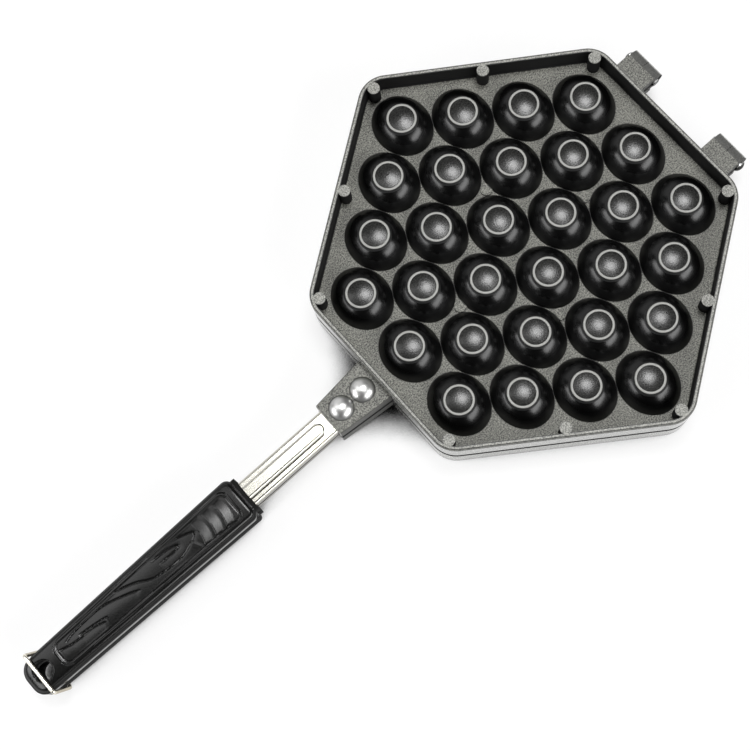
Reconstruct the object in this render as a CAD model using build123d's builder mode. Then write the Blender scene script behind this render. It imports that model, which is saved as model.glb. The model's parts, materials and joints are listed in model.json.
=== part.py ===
from build123d import *
from math import asin, cos, degrees, radians, sin, sqrt
import os

# Egg waffle pan: two equal cast pans that close face to face on a pair of pinned hinges. Each pan has
# a riveted steel neck and a moulded grip, and a wire clasp on the lower grip holds both grips shut.
#
# Frame: +X runs from the grips to the hinges, +Z is up, Y=0 is the plane of symmetry. The origin lies
# on the surface the closed pan stands on, under the middle of its length. The pieces of one half are
# first drawn outer side up, with the cell pattern centred on X=0, Y=0 and the closing plane at Z=0.

os.makedirs("parts", exist_ok=True)

# ---- Driving dimensions, millimetres and degrees --------------------------------------------------

# Cells: oval domes in staggered rows, each row along Y
row_counts = (3, 4, 5, 6, 5, 4, 3)
cell_pitch = 32.0            # along a row
row_pitch = 22.25            # from row to row
dome_half_x = 13.0           # half width of a dome where it leaves the web
dome_half_y = 15.05          # half length there
dome_rise = 10.8             # full height of the oval, before its top is cut flat
dome_cut = 9.3               # height of that flat top over the web
dome_wall = 2.2
boss_radius = 6.9            # round button on the flat top
ring_width = 1.3             # raised ring round the button's edge
ring_base = 9.6              # height of the button's shoulder over the web
ring_height = 0.35
crown_height = 0.6           # rise of the button's middle over its shoulder

# Pan: web, rim and closing face
face_gap = 0.2               # between the closing faces of the shut pan
web_top = 3.5                # outer face of the web over the closing plane
web_thickness = 2.3
rim_top = 14.5               # edge of the rim over the closing plane
rim_wall = 2.0
rim_round = 0.9              # rounding of the rim's outer edge
seam_round = 0.7             # rounding of the outer edge where the halves meet
end_land = 5.25              # from the last domes to the end walls
slant_land = 4.75            # from the outer domes to the slanted walls
slant_angle = 55.0           # from X to the normal of a slanted wall
corner_radius = 13.0
foot_radius = 1.6            # between web and wall
seal_width = 4.6             # closing face all round the edge

# Pads: columns along the wall and low buttons between the domes
pad_radius = 2.8
pad_bite = 0.6               # how far a column sinks into the wall
button_height = 1.0

# Hinges
hinge_spacing = 54.0         # between the middles of the two hinges
hinge_width = 16.0
hinge_offset = 11.4          # pin axis beyond the end wall
hinge_lug_top = 6.5
hinge_lug_reach = 10.0       # lug beyond the end wall
knuckle_radius = 4.5
knuckle_gap = 0.2            # between the two knuckles of a hinge
knuckle_clearance = 0.5      # round the other half's knuckle
pin_radius = 1.5
pin_clearance = 0.05
pin_head_radius = 2.7
pin_head_height = 1.8
pin_tail_radius = 2.1
pin_tail_height = 0.7
pin_play = 0.15              # along the pin, at each end

# Lug for the neck
lug_length = 27.4            # beyond the end wall
lug_root_half = 10.9
lug_end_half = 8.3
lug_top = 9.5
lug_edge = 0.8               # rounding of its edges
rivet_inset = 7.4            # first rivet from the end wall
rivet_spacing = 12.1
rivet_radius = 2.5
rivet_clearance = 0.05
rivet_head_radius = 5.75
rivet_head_height = 3.0
rivet_foot_radius = 3.8
rivet_foot_height = 1.5

# Neck: a channel folded from sheet, open towards the closing plane
sheet = 1.2
neck_width = 12.5
neck_top = 5.5
neck_depth = 4.6
neck_bend = 1.4
neck_clearance = 0.25        # at its sides, in the lug and in the grip
neck_inset = 2.0             # end of the channel from the end wall
neck_bare = 49.0             # length between lug and grip
bead_width = 6.3             # pressed bead along the middle
bead_height = 3.0
bead_round = 1.3
bead_inset = 3.0             # start of the bead from the lug
bead_tail = 8.0              # length of the bead inside the grip
tang_length = 58.0           # length of the channel inside the grip

# Grip
grip_length = 121.0
grip_front_half = 10.75
grip_rear_half = 8.5
grip_top = 10.5
grip_gap = 0.6               # between the two grips
grip_crown = 0.8             # rise of the top over its side edges
grip_front_radius = 3.6
grip_tip_radius = 6.5
grip_edge = 2.6
grip_inner_edge = 0.6
collar_length = 1.8
collar_half = 8.6
collar_top = 9.7
hole_radius = 4.4
hole_inset = 9.0             # hole centre from the tip
panel_front = 4.6            # panel edge from the grip's front
panel_rear = 17.5            # panel edge from the tip
panel_border = 2.6           # panel edge from the grip's sides
panel_depth = 0.45
panel_radius = 4.2
finger_ridges = 3
finger_ridge_start = 12.0    # first ridge from the grip's front
finger_ridge_pitch = 6.0
finger_ridge_width = 1.1

# Screws that hold the tang to the grip
screw_insets = {"front": 20.0, "rear": tang_length - 8.0}
screw_radius = 1.5
screw_clearance = 0.08
screw_length = 5.0
screw_head_radius = 2.8
screw_head_height = 1.7
screw_slot_width = 0.7
screw_slot_depth = 0.8

# Wire clasp
wire_radius = 0.9
wire_bend = 1.3
wire_side_gap = 0.25         # between bend and grip
wire_grip = 3.2              # length of each end inside the lower grip
wire_clearance = 0.06        # in those bores
clasp_inset = 10.5           # bores from the tip
clasp_depth = 6.5            # bores below the closing plane
clasp_lean = 3.5             # the bar over the grip lies this much nearer the tip
clasp_height = 10.85         # axis of that bar over the closing plane
clasp_clearance = 0.35       # between bar and grip

# ---- Places that follow from them -----------------------------------------------------------------

face_z = face_gap / 2
recess_z = web_top - web_thickness
middle_row = (len(row_counts) - 1) / 2
cells = [
    (row_pitch * (row - middle_row), cell_pitch * (place - (count - 1) / 2))
    for row, count in enumerate(row_counts)
    for place in range(count)
]

normal_x = cos(radians(slant_angle))
normal_y = sin(radians(slant_angle))
dome_support = sqrt((dome_half_x * normal_x) ** 2 + (dome_half_y * normal_y) ** 2)
end_reach = max(x for x, y in cells) + dome_half_x + end_land + rim_wall
slant_reach = max(x * normal_x + y * normal_y for x, y in cells) + dome_support + slant_land + rim_wall

hinge_x = end_reach + hinge_offset
lug_end = -(end_reach + lug_length)
neck_front = -(end_reach + neck_inset)
grip_front = lug_end - neck_bare
neck_rear = grip_front - tang_length
grip_tip = grip_front - grip_length
hole_x = grip_tip + hole_inset
rivet_places = {
    "front": -(end_reach + rivet_inset),
    "rear": -(end_reach + rivet_inset + rivet_spacing),
}
screw_places = {name: grip_front - inset for name, inset in screw_insets.items()}
clasp_x = grip_tip + clasp_inset
bar_x = clasp_x - clasp_lean
clasp_swing = sqrt(clasp_lean**2 + (clasp_height + clasp_depth) ** 2)

centre_x = -(hinge_x + knuckle_radius + grip_tip) / 2
upper_place = Location((centre_x, 0, rim_top))
lower_place = Location((centre_x, 0, rim_top), (180, 0, 0))
halves = {"upper": upper_place, "lower": lower_place}


def corners(inset):
    """Corner points in the first quadrant of the pan's outline, moved in by inset."""
    end = end_reach - inset
    slant = slant_reach - inset
    return (0, slant / normal_y), (end, (slant - end * normal_x) / normal_y)


def pan_outline(inset=0):
    """Rounded six-sided outline of the pan, moved in by inset."""
    (tip_x, tip_y), (side_x, side_y) = corners(0)
    with BuildSketch() as outline:
        Polygon(
            (tip_x, tip_y), (side_x, side_y), (side_x, -side_y),
            (tip_x, -tip_y), (-side_x, -side_y), (-side_x, side_y),
            align=None,
        )
        fillet(outline.vertices(), corner_radius)
        if inset:
            offset(amount=-inset)
    return outline.sketch


def grip_half_width(x):
    """Half width of a grip at x."""
    share = (grip_front - x) / grip_length
    return grip_front_half + (grip_rear_half - grip_front_half) * share


def cap_arc(radius, base, height):
    """Arc of a round cap from its edge to the axis, for a profile to be turned."""
    ball = (radius**2 + height**2) / (2 * height)
    start = degrees(asin((ball - height) / ball))
    return CenterArc((0, base + height - ball), ball, start, 90 - start)


# ---- One cell --------------------------------------------------------------------------------------

# The oval is turned about its long axis. Its centre lies below the web's outer face by dome_sink.
dome_sink = (dome_half_x**2 - dome_rise**2) / (2 * dome_rise)
oval_radius = dome_rise + dome_sink
oval_half_y = dome_half_y * oval_radius / dome_half_x
oval_z = web_top - dome_sink


def oval(wall):
    """A cell's oval, drawn in by wall."""
    with BuildPart() as shape:
        with BuildSketch(Plane.XY.offset(oval_z)):
            Ellipse(oval_radius - wall, oval_half_y - wall)
            split(bisect_by=Plane.YZ)
        revolve(axis=Axis((0, 0, oval_z), (0, 1, 0)))
    return shape.part


with BuildPart() as dome:
    add(oval(0))
    split(bisect_by=Plane.XY.offset(web_top - foot_radius / 4))
    split(bisect_by=Plane.XY.offset(web_top + dome_cut), keep=Keep.BOTTOM)
    with BuildSketch(Plane.XZ) as button:
        with BuildLine():
            shoulder = web_top + ring_base
            Polyline((0, web_top), (boss_radius, web_top), (boss_radius, shoulder))
            ThreePointArc(
                (boss_radius, shoulder),
                (boss_radius - ring_width / 2, shoulder + ring_height),
                (boss_radius - ring_width, shoulder),
            )
            cap_arc(boss_radius - ring_width, shoulder, crown_height)
            Line((0, shoulder + crown_height), (0, web_top))
        make_face()
    revolve(axis=Axis.Z)

# ---- Lug for the neck ------------------------------------------------------------------------------

with BuildPart() as neck_lug:
    with BuildSketch(Plane.XY.offset(face_z)):
        Polygon(
            (-end_reach + rim_wall / 2, lug_root_half), (lug_end, lug_end_half),
            (lug_end, -lug_end_half), (-end_reach + rim_wall / 2, -lug_root_half),
            align=None,
        )
    extrude(amount=lug_top - face_z)
    fillet(neck_lug.edges().filter_by(Axis.Z).group_by(Axis.X)[0], lug_edge)
    fillet(neck_lug.faces().sort_by(Axis.Z)[-1].edges().sort_by(Axis.X)[:-1], lug_edge)
    fillet(neck_lug.faces().sort_by(Axis.Z)[0].edges().sort_by(Axis.X)[:-1], seam_round)

# ---- Hinge lug, drawn with its middle at Y=0 --------------------------------------------------------
# The half towards -Y carries the knuckle, and the other half makes room for the other pan's knuckle.

with BuildPart() as hinge_lug:
    with BuildSketch(Plane.XZ.offset(-hinge_width / 2)):
        with BuildLine():
            Polyline(
                (end_reach - rim_wall / 2, face_z),
                (end_reach + hinge_lug_reach, face_z),
                (end_reach + hinge_lug_reach, hinge_lug_top),
                (end_reach - rim_wall / 2, hinge_lug_top),
                close=True,
            )
        make_face()
    extrude(amount=hinge_width)
    fillet(hinge_lug.edges().filter_by(Axis.Z).group_by(Axis.X)[-1], lug_edge)
    with BuildSketch(Plane.XZ.offset(-hinge_width / 2)):
        with Locations((hinge_x, 0)):
            Circle(knuckle_radius + knuckle_clearance)
    extrude(amount=hinge_width / 2 + knuckle_gap / 2, mode=Mode.SUBTRACT)
    with BuildSketch(Plane.XZ.offset(knuckle_gap / 2)):
        with Locations((hinge_x, 0)):
            Circle(knuckle_radius)
        with Locations((end_reach - rim_wall / 2, face_z)):
            Rectangle(
                hinge_offset + rim_wall / 2, knuckle_radius - face_z,
                align=(Align.MIN, Align.MIN),
            )
    extrude(amount=hinge_width / 2 - knuckle_gap / 2)

# ---- The cast pan, equal for both halves ------------------------------------------------------------

with BuildPart() as casting:
    with BuildSketch(Plane.XY.offset(face_z)):
        add(pan_outline())
    extrude(amount=rim_top - face_z)
    fillet(casting.faces().sort_by(Axis.Z)[-1].edges(), rim_round)
    fillet(casting.faces().sort_by(Axis.Z)[0].edges(), seam_round)
    with BuildSketch(Plane.XY.offset(web_top)):
        add(pan_outline(rim_wall))
    extrude(amount=rim_top - web_top, mode=Mode.SUBTRACT)
    fillet(casting.edges().filter_by_position(Axis.Z, web_top, web_top), foot_radius)
    with BuildSketch(Plane.XY.offset(face_z)):
        add(pan_outline(seal_width))
    extrude(amount=recess_z - face_z, mode=Mode.SUBTRACT)

    # columns in the corners and half way along the slanted walls
    (_, tip_y), (side_x, side_y) = corners(corner_radius)
    nest = corner_radius - rim_wall + pad_bite - pad_radius
    half_turn = radians(slant_angle / 2)
    columns = [(0, tip_y + nest), (side_x + nest * cos(half_turn), side_y + nest * sin(half_turn))]
    (_, tip_y), (side_x, side_y) = corners(rim_wall - pad_bite + pad_radius)
    columns.append((side_x / 2, (tip_y + side_y) / 2))
    column_places = {(sx * x, sy * y) for x, y in columns for sx in (1, -1) for sy in (1, -1)}
    with BuildSketch(Plane.XY.offset(recess_z)):
        with Locations(*sorted(column_places)):
            Circle(pad_radius)
    extrude(amount=rim_top - recess_z)

    # low buttons in four of the gaps between three domes
    button_places = [
        (row_pitch / 3, cell_pitch), (row_pitch * 5 / 3, 0),
        (-row_pitch / 3, -cell_pitch), (-row_pitch * 5 / 3, 0),
    ]
    with BuildSketch(Plane.XY.offset(recess_z)):
        with Locations(*button_places):
            Circle(pad_radius)
    extrude(amount=web_thickness + button_height)

    with Locations(*cells):
        add(dome.part)
    with Locations(*cells):
        add(oval(dome_wall), mode=Mode.SUBTRACT)

    add(neck_lug.part)
    with BuildSketch(Plane.XY.offset(face_z)):
        with Locations((-(end_reach + neck_inset - neck_clearance), 0)):
            Rectangle(
                lug_length, neck_width + 2 * neck_clearance,
                align=(Align.MAX, Align.CENTER),
            )
    extrude(amount=neck_top - face_z, mode=Mode.SUBTRACT)
    with BuildSketch(Plane.XY.offset(face_z)):
        with Locations(*[(x, 0) for x in rivet_places.values()]):
            Circle(rivet_radius + rivet_clearance)
    extrude(amount=lug_top - face_z, mode=Mode.SUBTRACT)

    with Locations((0, hinge_spacing / 2), (0, -hinge_spacing / 2)):
        add(hinge_lug.part)
    with BuildSketch(Plane.XZ):
        with Locations((hinge_x, 0)):
            Circle(pin_radius + pin_clearance)
    extrude(amount=hinge_spacing, both=True, mode=Mode.SUBTRACT)

# ---- The casting in sections -------------------------------------------------------------------------
# A half is one casting. It is written in sections that meet face to face: the lug for the neck, one
# section for each row of cells, and the two hinge lugs.

row_cuts = [row_pitch * (row - middle_row - 0.5) for row in range(1, len(row_counts))]
row_names = [f"row_{row + 1}" for row in range(len(row_counts))]

sections = {}
remainder = casting.part
for name, cut in zip(["neck_lug", *row_names], [-end_reach, *row_cuts, end_reach]):
    with BuildPart() as section:
        add(remainder)
        split(bisect_by=Plane.YZ.offset(cut), keep=Keep.BOTTOM)
    sections[name] = section.part
    with BuildPart() as rest:
        add(remainder)
        split(bisect_by=Plane.YZ.offset(cut), keep=Keep.TOP)
    remainder = rest.part
sections["hinge_lugs"] = remainder

for half, place in halves.items():
    for name, shape in sections.items():
        with BuildPart() as section:
            with Locations(place):
                add(shape)
        section.part.label = f"{half}_{name}"
        export_step(section.part, f"parts/{half}_{name}.step")

# ---- Hinge pins: domed head on the outer side, peened tail on the inner side -------------------------

with BuildPart() as pin_blank:
    pin_length = hinge_width + 2 * pin_play
    with BuildSketch(Plane.XY.offset(-hinge_width / 2 - pin_play)):
        Circle(pin_radius)
    extrude(amount=pin_length)
    with BuildSketch(Plane.XZ):
        with BuildLine():
            seat = hinge_width / 2 + pin_play
            edge = seat + pin_head_height / 3
            Polyline((0, seat), (pin_head_radius, seat), (pin_head_radius, edge))
            cap_arc(pin_head_radius, edge, seat + pin_head_height - edge)
            Line((0, seat + pin_head_height), (0, seat))
        make_face()
    revolve(axis=Axis.Z)
    with BuildSketch(Plane.XY.offset(-hinge_width / 2 - pin_play)) as tail:
        Circle(pin_tail_radius)
    extrude(amount=-pin_tail_height, taper=20)

for side, turn in (("left", -90), ("right", 90)):
    pin_place = (centre_x + hinge_x, -turn / 90 * hinge_spacing / 2, rim_top)
    with BuildPart() as hinge_pin:
        with Locations(Location(pin_place, (turn, 0, 0))):
            add(pin_blank.part)
    hinge_pin.part.label = f"{side}_hinge_pin"
    export_step(hinge_pin.part, f"parts/{side}_hinge_pin.step")

# ---- Neck -------------------------------------------------------------------------------------------

with BuildPart() as neck_blank:
    with BuildSketch(Plane.YZ.offset(neck_front)) as section:
        with Locations((0, neck_top)):
            Rectangle(neck_width, neck_depth, align=(Align.CENTER, Align.MAX))
        fillet(section.vertices().group_by(Axis.Y)[-1], neck_bend)
    extrude(amount=neck_rear - neck_front)
    bead_front = lug_end - bead_inset
    bead_rear = grip_front - bead_tail
    with BuildSketch(Plane.XY.offset(neck_top - sheet)):
        with Locations(((bead_front + bead_rear) / 2, 0)):
            SlotOverall(bead_front - bead_rear, bead_width)
    extrude(amount=sheet + bead_height)
    fillet(neck_blank.faces().sort_by(Axis.Z)[-1].edges(), bead_round)
    with BuildSketch(Plane.YZ.offset(neck_front)):
        with Locations((0, neck_top - sheet)):
            Rectangle(neck_width - 2 * sheet, neck_depth, align=(Align.CENTER, Align.MAX))
    extrude(amount=neck_rear - neck_front, mode=Mode.SUBTRACT)
    with BuildSketch(Plane.XY.offset(neck_top - sheet)):
        with Locations(((bead_front + bead_rear) / 2, 0)):
            SlotOverall(bead_front - bead_rear - 2 * sheet, bead_width - 2 * sheet)
    extrude(amount=bead_height, mode=Mode.SUBTRACT)
    with BuildSketch(Plane.XY.offset(neck_top)):
        with Locations(*[(x, 0) for x in rivet_places.values()]):
            Circle(rivet_radius + rivet_clearance)
        with Locations(*[(x, 0) for x in screw_places.values()]):
            Circle(screw_radius + screw_clearance)
    extrude(amount=-sheet, mode=Mode.SUBTRACT)

for half, place in halves.items():
    with BuildPart() as neck:
        with Locations(place):
            add(neck_blank.part)
    neck.part.label = f"{half}_neck"
    export_step(neck.part, f"parts/{half}_neck.step")

# ---- Rivets, drawn with the underside of the head at Z=0 ----------------------------------------------

with BuildPart() as rivet_blank:
    with BuildSketch(Plane.XZ):
        with BuildLine():
            foot = lug_top - neck_top + sheet
            cap_arc(rivet_head_radius, 0, rivet_head_height)
            Polyline(
                (0, rivet_head_height), (0, -foot - rivet_foot_height),
                (rivet_foot_radius * 0.8, -foot - rivet_foot_height), (rivet_foot_radius, -foot),
                (rivet_radius, -foot), (rivet_radius, 0), (rivet_head_radius, 0),
            )
        make_face()
    revolve(axis=Axis.Z)

for half, place in halves.items():
    for position, x in rivet_places.items():
        with BuildPart() as rivet:
            with Locations(place * Location((x, 0, lug_top))):
                add(rivet_blank.part)
        rivet.part.label = f"{half}_{position}_rivet"
        export_step(rivet.part, f"parts/{half}_{position}_rivet.step")

# ---- Grips --------------------------------------------------------------------------------------------


def crown_profile(lowered):
    """Area over the crowned top of a grip, seen along the grip, with the top lowered."""
    reach = grip_front_half + 1
    drop = grip_crown * (reach / grip_front_half) ** 2
    with BuildSketch() as area:
        with BuildLine():
            ThreePointArc(
                (-reach, grip_top - lowered - drop), (0, grip_top - lowered),
                (reach, grip_top - lowered - drop),
            )
            Polyline(
                (reach, grip_top - lowered - drop), (reach, grip_top + 1),
                (-reach, grip_top + 1), (-reach, grip_top - lowered - drop),
            )
        make_face()
    return area.sketch


with BuildPart() as panel_cut:
    with BuildSketch(Plane.XY.offset(web_top)) as outline:
        front, rear = grip_front - panel_front, grip_tip + panel_rear
        front_half = grip_half_width(front) - panel_border
        rear_half = grip_half_width(rear) - panel_border
        Polygon(
            (front, front_half), (rear, rear_half), (rear, -rear_half), (front, -front_half),
            align=None,
        )
        fillet(outline.vertices(), panel_radius)
        ridge_places = [
            (grip_front - finger_ridge_start - finger_ridge_pitch * n, 0) for n in range(finger_ridges)
        ]
        with Locations(*ridge_places):
            SlotOverall(
                2 * (front_half - panel_border), finger_ridge_width,
                rotation=90, mode=Mode.SUBTRACT,
            )
    extrude(amount=grip_top)
    with BuildSketch(Plane.YZ.offset(grip_front)):
        add(crown_profile(panel_depth))
    extrude(amount=-grip_length, mode=Mode.INTERSECT)

with BuildPart() as grip_blank:
    with BuildSketch(Plane.XY.offset(grip_gap / 2)) as outline:
        Polygon(
            (grip_front, grip_front_half), (grip_tip, grip_rear_half),
            (grip_tip, -grip_rear_half), (grip_front, -grip_front_half),
            align=None,
        )
        fillet(outline.vertices().group_by(Axis.X)[-1], grip_front_radius)
        fillet(outline.vertices().group_by(Axis.X)[0], grip_tip_radius)
    extrude(amount=grip_top - grip_gap / 2)
    with BuildSketch(Plane.YZ.offset(grip_front)):
        add(crown_profile(0))
    extrude(amount=-grip_length - 1, mode=Mode.SUBTRACT)
    fillet(grip_blank.faces().sort_by(Axis.Z)[-1].edges(), grip_edge)
    fillet(grip_blank.faces().sort_by(Axis.Z)[0].edges(), grip_inner_edge)
    add(panel_cut.part, mode=Mode.SUBTRACT)

    # collar round the neck
    with BuildSketch(Plane.YZ.offset(grip_front + collar_length)) as ring:
        with Locations((0, grip_gap / 2)):
            Rectangle(2 * collar_half, collar_top - grip_gap / 2, align=(Align.CENTER, Align.MIN))
        fillet(ring.vertices().group_by(Axis.Y)[-1], grip_edge)
    extrude(amount=-collar_length - grip_front_radius)

    # channel for the tang, and a groove over it for the bead
    with BuildSketch(Plane.XY.offset(grip_gap / 2)):
        with Locations((grip_front + collar_length, 0)):
            Rectangle(
                collar_length + tang_length + neck_clearance, neck_width + 2 * neck_clearance,
                align=(Align.MAX, Align.CENTER),
            )
    extrude(amount=neck_top - grip_gap / 2, mode=Mode.SUBTRACT)
    with BuildSketch(Plane.XY.offset(neck_top)):
        with Locations(((bead_front + bead_rear) / 2, 0)):
            SlotOverall(
                bead_front - bead_rear + 2 * neck_clearance, bead_width + 2 * neck_clearance,
            )
    extrude(amount=bead_height + neck_clearance, mode=Mode.SUBTRACT)

    with BuildSketch(Plane.XY.offset(neck_top)):
        with Locations(*[(x, 0) for x in screw_places.values()]):
            Circle(screw_radius + screw_clearance)
    extrude(amount=screw_length - sheet + neck_clearance, mode=Mode.SUBTRACT)
    with BuildSketch(Plane.XY):
        with Locations((hole_x, 0)):
            Circle(hole_radius)
    extrude(amount=grip_top, mode=Mode.SUBTRACT)

# The tip of the upper grip is rounded about the clasp's bores, so that the bar glides over it.
with BuildPart() as tip_cut:
    with BuildSketch(Plane.XZ.offset(-grip_front_half)):
        with Locations((bar_x + wire_radius + clasp_clearance, 0)):
            Rectangle(grip_length, grip_top + 1, align=(Align.MAX, Align.MIN))
        with Locations((clasp_x, -clasp_depth)):
            Circle(clasp_swing - wire_radius - clasp_clearance, mode=Mode.SUBTRACT)
    extrude(amount=2 * grip_front_half)

with BuildPart() as upper_grip:
    with Locations(upper_place):
        add(grip_blank.part)
        add(tip_cut.part, mode=Mode.SUBTRACT)
upper_grip.part.label = "upper_grip"
export_step(upper_grip.part, "parts/upper_grip.step")

wire_end_y = grip_half_width(clasp_x) - wire_grip
with BuildPart() as lower_grip:
    with Locations(lower_place):
        add(grip_blank.part)
    with BuildSketch(Plane.XZ):
        with Locations((centre_x + clasp_x, rim_top - clasp_depth)):
            Circle(wire_radius + wire_clearance)
    extrude(amount=grip_front_half, both=True, mode=Mode.SUBTRACT)
lower_grip.part.label = "lower_grip"
export_step(lower_grip.part, "parts/lower_grip.step")

# ---- Screws, drawn head down with the seat of the head at Z=0 ------------------------------------------

with BuildPart() as screw_blank:
    with BuildSketch(Plane.XY):
        Circle(screw_radius)
    extrude(amount=screw_length)
    with BuildSketch(Plane.XY) as head:
        Circle(screw_head_radius)
    extrude(amount=-screw_head_height)
    fillet(screw_blank.faces().sort_by(Axis.Z)[0].edges(), screw_head_height / 3)
    with BuildSketch(Plane.XY.offset(-screw_head_height)):
        Rectangle(2 * screw_head_radius * 0.7, screw_slot_width)
        Rectangle(screw_slot_width, 2 * screw_head_radius * 0.7)
    extrude(amount=screw_slot_depth, mode=Mode.SUBTRACT)

for half, place in halves.items():
    for position, x in screw_places.items():
        with BuildPart() as screw:
            with Locations(place * Location((x, 0, neck_top - sheet))):
                add(screw_blank.part)
        screw.part.label = f"{half}_{position}_screw"
        export_step(screw.part, f"parts/{half}_{position}_screw.step")

# ---- Wire clasp ------------------------------------------------------------------------------------------

leg_y = grip_half_width(clasp_x) + wire_side_gap + wire_bend
foot_x, foot_z = centre_x + clasp_x, rim_top - clasp_depth
top_x, top_z = centre_x + bar_x, rim_top + clasp_height
with BuildPart() as wire_clasp:
    with BuildLine() as wire:
        FilletPolyline(
            (foot_x, wire_end_y, foot_z), (foot_x, leg_y, foot_z), (top_x, leg_y, top_z),
            (top_x, -leg_y, top_z), (foot_x, -leg_y, foot_z), (foot_x, -wire_end_y, foot_z),
            radius=wire_bend,
        )
    with BuildSketch(Plane(origin=wire.line @ 0, z_dir=wire.line % 0)):
        Circle(wire_radius)
    sweep()
wire_clasp.part.label = "wire_clasp"
export_step(wire_clasp.part, "parts/wire_clasp.step")
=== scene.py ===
"""Egg waffle pan: finishes, moulded grips, floor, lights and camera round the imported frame.

Every length in a dataclass field is in millimetres unless its name ends in _m, and MM turns it into
the frame's metres. The frame's origin lies on the table, half-way between the grips' tips and the
hinges, with +X towards the hinges and +Z up out of the upper plate.
"""

import json
import logging
import math
from dataclasses import dataclass
from enum import Enum
from typing import Any

import bmesh
import bpy
import numpy as np
from bpy.types import ID, Material, NodeSocket, NodeTree, Object
from mathutils import Matrix, Vector


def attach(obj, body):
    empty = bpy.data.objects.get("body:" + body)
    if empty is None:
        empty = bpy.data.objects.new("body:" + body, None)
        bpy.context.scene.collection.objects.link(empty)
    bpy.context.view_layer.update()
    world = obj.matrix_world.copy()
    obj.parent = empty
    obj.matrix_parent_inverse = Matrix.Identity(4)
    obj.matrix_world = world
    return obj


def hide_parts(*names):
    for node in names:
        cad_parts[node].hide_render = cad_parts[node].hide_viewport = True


LOG = logging.getLogger("egg_waffle_pan")
MM = 0.001
PAN_MIDDLE_X = 90.75  # the middle of the cooking plates
CLOSING_Z = 14.5  # the plane in which the two halves meet
NOISE_REACH = (0.3, 0.7)  # nearly all of a noise texture's values lie between these

Pair = tuple[float, float]
Triple = tuple[float, float, float]

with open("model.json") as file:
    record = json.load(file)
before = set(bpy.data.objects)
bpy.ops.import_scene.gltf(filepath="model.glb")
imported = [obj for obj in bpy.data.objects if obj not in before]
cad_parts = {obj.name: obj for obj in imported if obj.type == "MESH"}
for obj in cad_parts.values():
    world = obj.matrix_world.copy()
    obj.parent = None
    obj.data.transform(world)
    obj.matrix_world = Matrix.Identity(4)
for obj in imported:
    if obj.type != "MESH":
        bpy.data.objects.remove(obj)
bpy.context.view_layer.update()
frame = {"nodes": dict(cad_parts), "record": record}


class Half(Enum):
    """The two halves of the pan, with the side of the closing plane that each lies on."""

    UPPER = 1
    LOWER = -1

    @property
    def word(self) -> str:
        """The half's name as the nodes and bodies spell it."""
        return self.name.lower()

    @property
    def body(self) -> str:
        """The moving body that carries the half."""
        return f"{self.word}_half"


class Slot(Enum):
    """The record's material slots."""

    COATED_CAST_ALUMINIUM = "coated_cast_aluminium"
    CHROMED_STEEL = "chromed_steel"
    MOULDED_PHENOLIC = "moulded_phenolic"
    POLISHED_RIVET = "polished_rivet"
    ZINC_SCREW = "zinc_screw"
    SPRING_WIRE = "spring_wire"


class Carving(Enum):
    """What a tool object does to a piece."""

    CUT = "DIFFERENCE"
    ADD = "UNION"


# ---- Colours and nodes ----


def linear(code: str) -> tuple[float, float, float, float]:
    """Turns an sRGB hex colour into linear light.

    Args:
        code: the colour as "#rrggbb".

    Returns:
        Red, green, blue and an alpha of 1.
    """
    parts = [int(code[i : i + 2], 16) / 255 for i in (1, 3, 5)]
    light = [c / 12.92 if c <= 0.04045 else ((c + 0.055) / 1.055) ** 2.4 for c in parts]
    return (*light, 1.0)


def add_node(
    tree: NodeTree, kind: str, inputs: dict | None = None, out: int | str = 0, **settings: Any
) -> NodeSocket | None:
    """Adds one node with its settings and links.

    Args:
        tree: the node tree that gets the node.
        kind: the node's type name after "ShaderNode".
        inputs: for each socket's name or index, a value, or the output socket to link from.
        out: the name or index of the output that the caller goes on with.
        **settings: the node's own properties.

    Returns:
        That output's socket, or None for a node that has no outputs.
    """
    node = tree.nodes.new(f"ShaderNode{kind}")
    for name, value in settings.items():
        setattr(node, name, value)
    for key, value in (inputs or {}).items():
        if isinstance(value, NodeSocket):
            tree.links.new(value, node.inputs[key])
        else:
            node.inputs[key].default_value = value
    return node.outputs[out] if node.outputs else None


def new_material(name: str) -> tuple[Material, NodeTree]:
    """Makes an empty node material.

    Args:
        name: the material's name.

    Returns:
        The material and its cleared node tree.
    """
    material = bpy.data.materials.new(name)
    material.use_nodes = True
    material.node_tree.nodes.clear()
    return material, material.node_tree


def finish_surface(tree: NodeTree, shader: NodeSocket) -> None:
    """Links a shader to the material's surface."""
    add_node(tree, "OutputMaterial", {"Surface": shader})


def noise_scale(grain_mm: float) -> float:
    """Noise scale in the frame's metres for features of about that many millimetres."""
    return 1 / (grain_mm * MM)


def levelness(tree: NodeTree, normal: NodeSocket) -> NodeSocket:
    """How level a face lies: 1 where it faces straight up or down, and 0 where it is upright."""
    upward = add_node(tree, "SeparateXYZ", {0: normal}, out=2)
    return add_node(tree, "Math", {0: upward}, operation="ABSOLUTE")


def folded(tree: NodeTree, point: NodeSocket) -> NodeSocket:
    """Folds a point of the pan on the pan's two axes into one quarter, as seen from above.

    Args:
        tree: the material's node tree.
        point: the point in the frame, in metres.

    Returns:
        The socket with the distances from the pan's middle along the two axes.
    """
    to_middle = (-PAN_MIDDLE_X * MM, 0, 0)
    from_middle = add_node(
        tree, "VectorMath", {0: point, 1: (1, 1, 0), 2: to_middle}, operation="MULTIPLY_ADD"
    )
    return add_node(tree, "VectorMath", {0: from_middle}, operation="ABSOLUTE")


# ---- Finishes ----


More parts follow.
